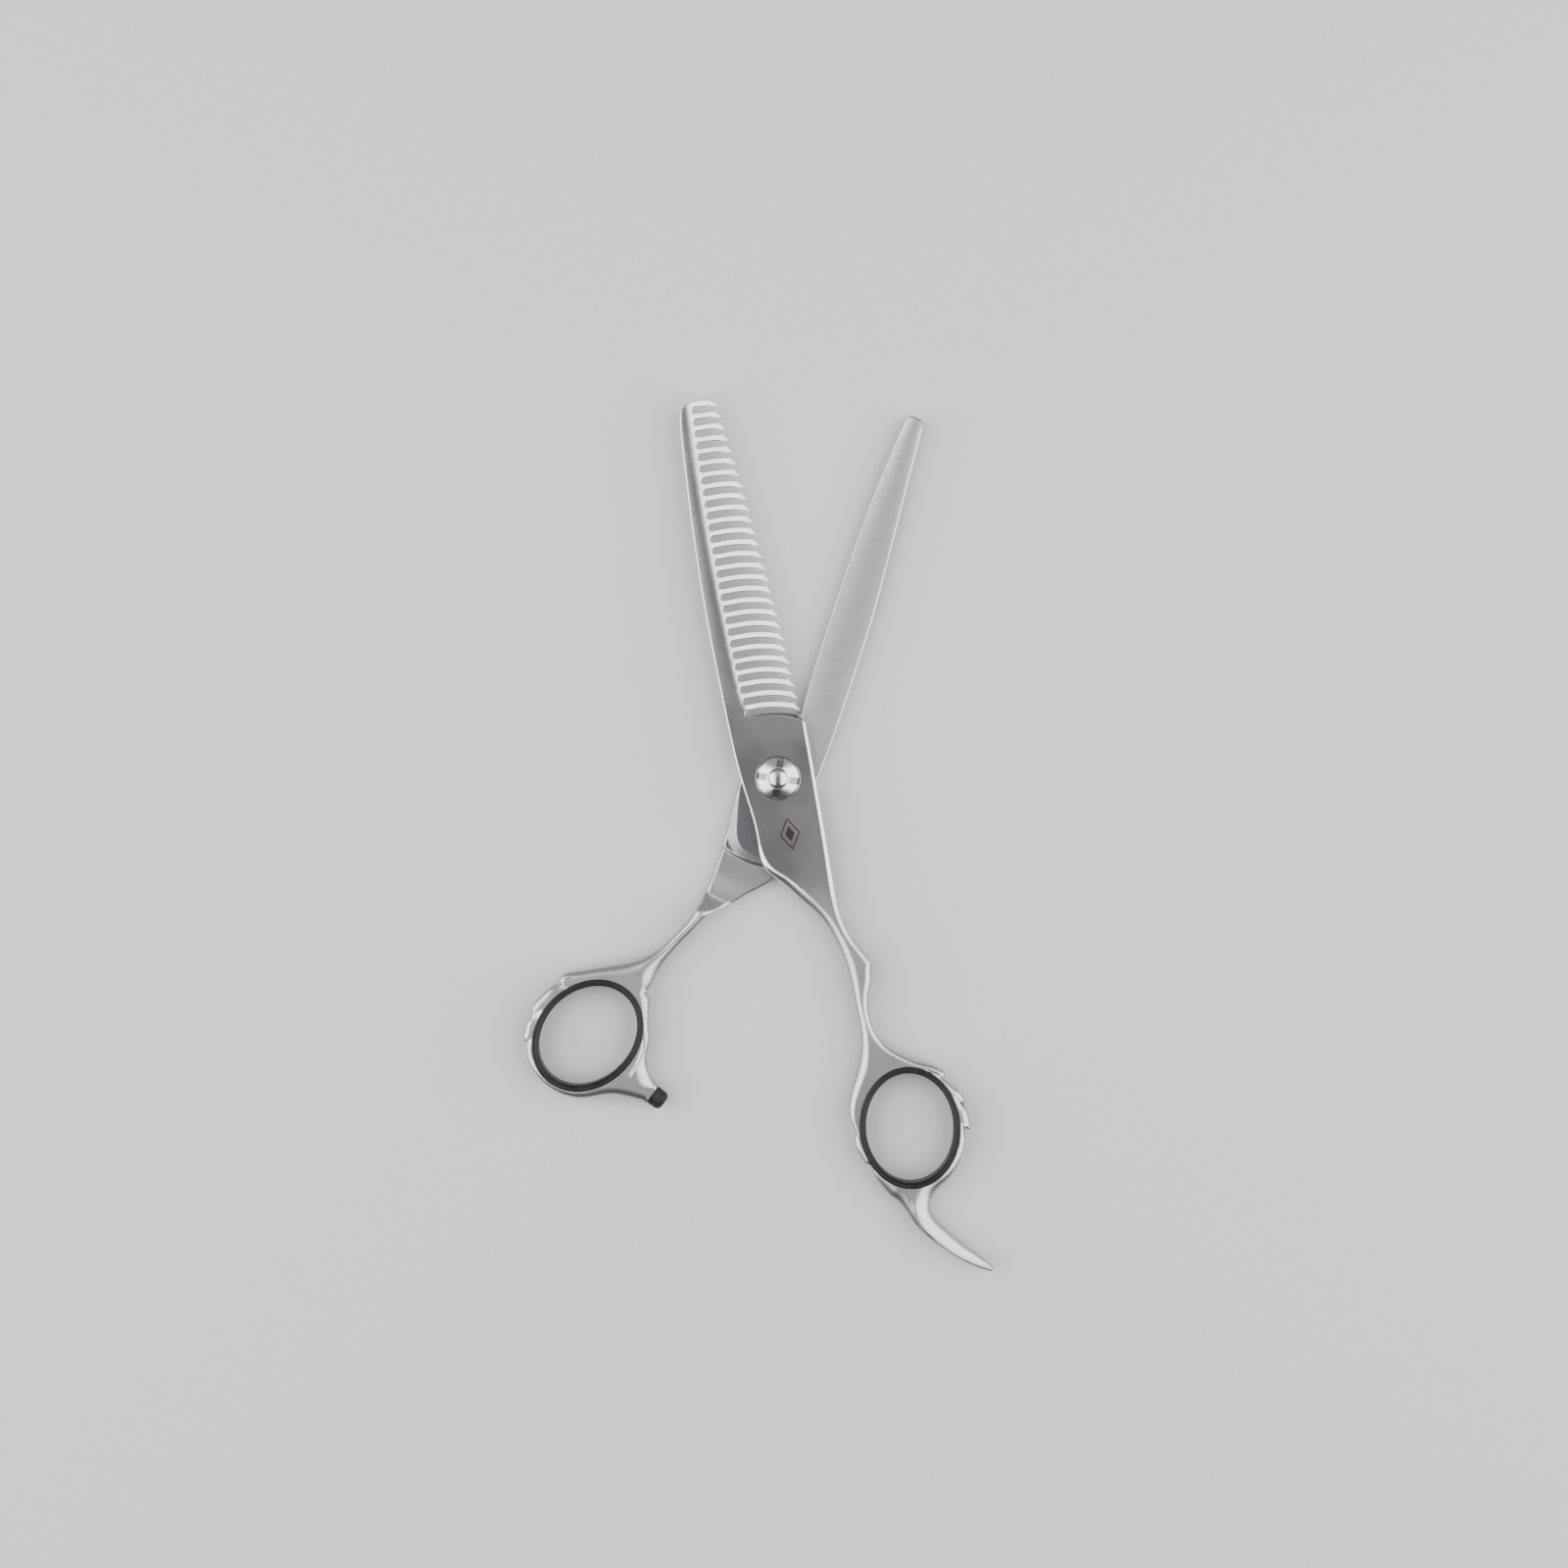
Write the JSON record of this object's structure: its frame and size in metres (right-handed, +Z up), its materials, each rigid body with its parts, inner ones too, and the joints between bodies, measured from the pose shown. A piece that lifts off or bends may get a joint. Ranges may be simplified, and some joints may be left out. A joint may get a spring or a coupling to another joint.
{
  "type": "thinning shears",
  "caption": "Hairdresser's thinning shears: comb blade with curved slots, plain blade, dial-tensioned bearing pivot, soft-lined finger and thumb rings, finger rest, bumper.",
  "frame": {"origin": "on the pivot axis, at the flat underside of the pivot stud's head, which the shears rest on", "axes": "+Z up the pivot axis to the dial, +Y along the comb blade to its tip, +X towards the points of the teeth"},
  "size_m": [0.0948, 0.1696, 0.0061],
  "materials": {
    "blade_steel": "satin",
    "handle_steel": "satin polished",
    "bright_steel": "turned and polished",
    "bearing_steel": "ground",
    "bearing_brass": "plain",
    "glide_plastic": "matte",
    "insert_rubber": "matte",
    "bumper_rubber": "matte"
  },
  "bodies": {
    "comb_half": {"toothed_blade": "blade_steel", "finger_handle": "handle_steel", "finger_ring_insert": "insert_rubber", "pivot_bush": "bearing_brass", "lower_race": "bearing_steel"},
    "plain_half": {"plain_blade": "blade_steel", "thumb_handle": "handle_steel", "thumb_ring_insert": "insert_rubber", "bumper": "bumper_rubber", "pivot_stud": "bright_steel", "upper_race": "bearing_steel", "spring_washer": "bearing_steel", "glide_washer": "glide_plastic"},
    "dial": {"tension_dial": "bright_steel"},
    "ball_ring": {"bearing_balls": "bearing_steel", "ball_cage": "bearing_brass"}
  },
  "joints": [
    {"name": "blade_pivot", "type": "hinge", "parent": "comb_half", "child": "plain_half", "pos_m": [0, 0, 0.0028], "axis": [0, 0, 1], "range_deg": [-90, 31]},
    {"name": "dial_turn", "type": "hinge", "parent": "plain_half", "child": "dial", "pos_m": [0, 0, 0.005], "axis": [0, 0, 1], "range_deg": [-90, 90]},
    {"name": "ball_roll", "type": "hinge", "parent": "comb_half", "child": "ball_ring", "pos_m": [0, 0, 0.00425], "axis": [0, 0, 1], "range_deg": [-46, 16]}
  ],
  "couplings": [
    {"joint": "ball_roll", "follows": "blade_pivot", "ratio": 0.5}
  ]
}
